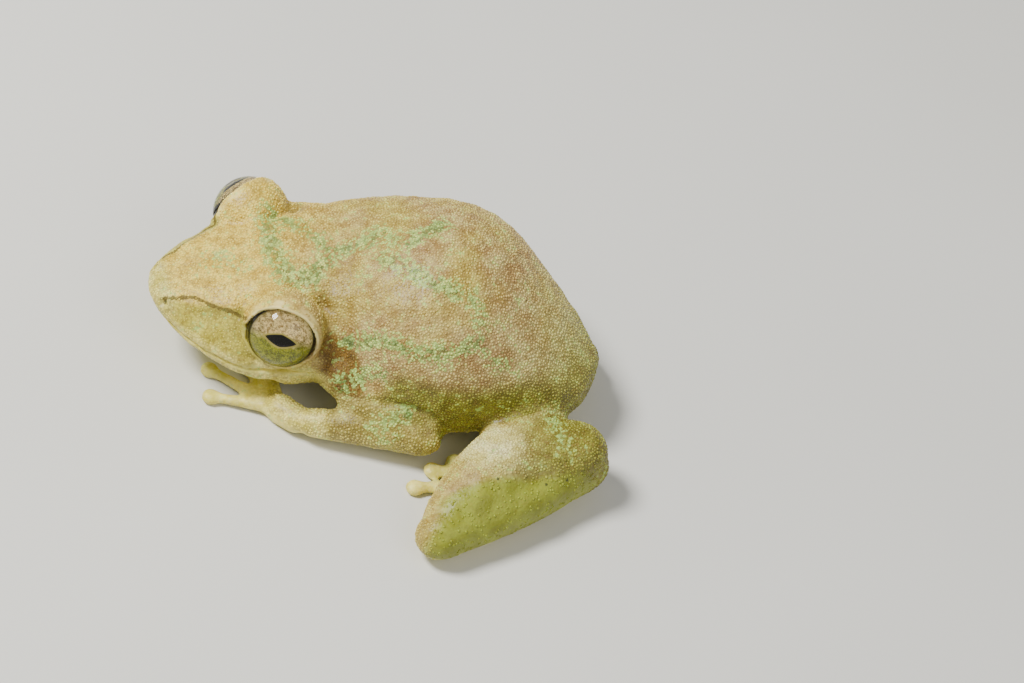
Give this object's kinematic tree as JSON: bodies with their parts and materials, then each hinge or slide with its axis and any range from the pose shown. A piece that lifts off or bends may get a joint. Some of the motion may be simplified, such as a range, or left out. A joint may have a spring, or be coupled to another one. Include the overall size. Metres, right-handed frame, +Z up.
{
  "type": "reed frog",
  "caption": "Life-size still model of a small reed frog, crouched with its limbs tucked in and its head turned to its left.",
  "frame": {"origin": "middle of the bounding box, at the level of the floor that the frog rests on", "axes": "the frog faces -X, +X points to its rump, -Y is its left side, +Z is up"},
  "size_m": [0.0262, 0.0218, 0.0099],
  "materials": {
    "skin": "moist granular skin, pinkish tan with pale granules and green markings",
    "pale_skin": "moist pale cream skin of lips, throat, hands and feet",
    "eye": "wet, glossy eyeball with a tan and yellow-green iris and a dark pupil"
  },
  "bodies": {
    "root": {"head": "skin", "lower_jaw": "pale_skin", "torso": "skin", "eye_left": "eye", "eye_right": "eye", "upper_arm_left": "skin", "upper_arm_right": "skin", "forearm_left": "skin", "forearm_right": "skin", "hand_left": "pale_skin", "hand_right": "pale_skin", "thigh_left": "skin", "thigh_right": "skin", "shank_left": "skin", "shank_right": "skin", "foot_left": "pale_skin", "foot_right": "pale_skin"}
  },
  "joints": []
}
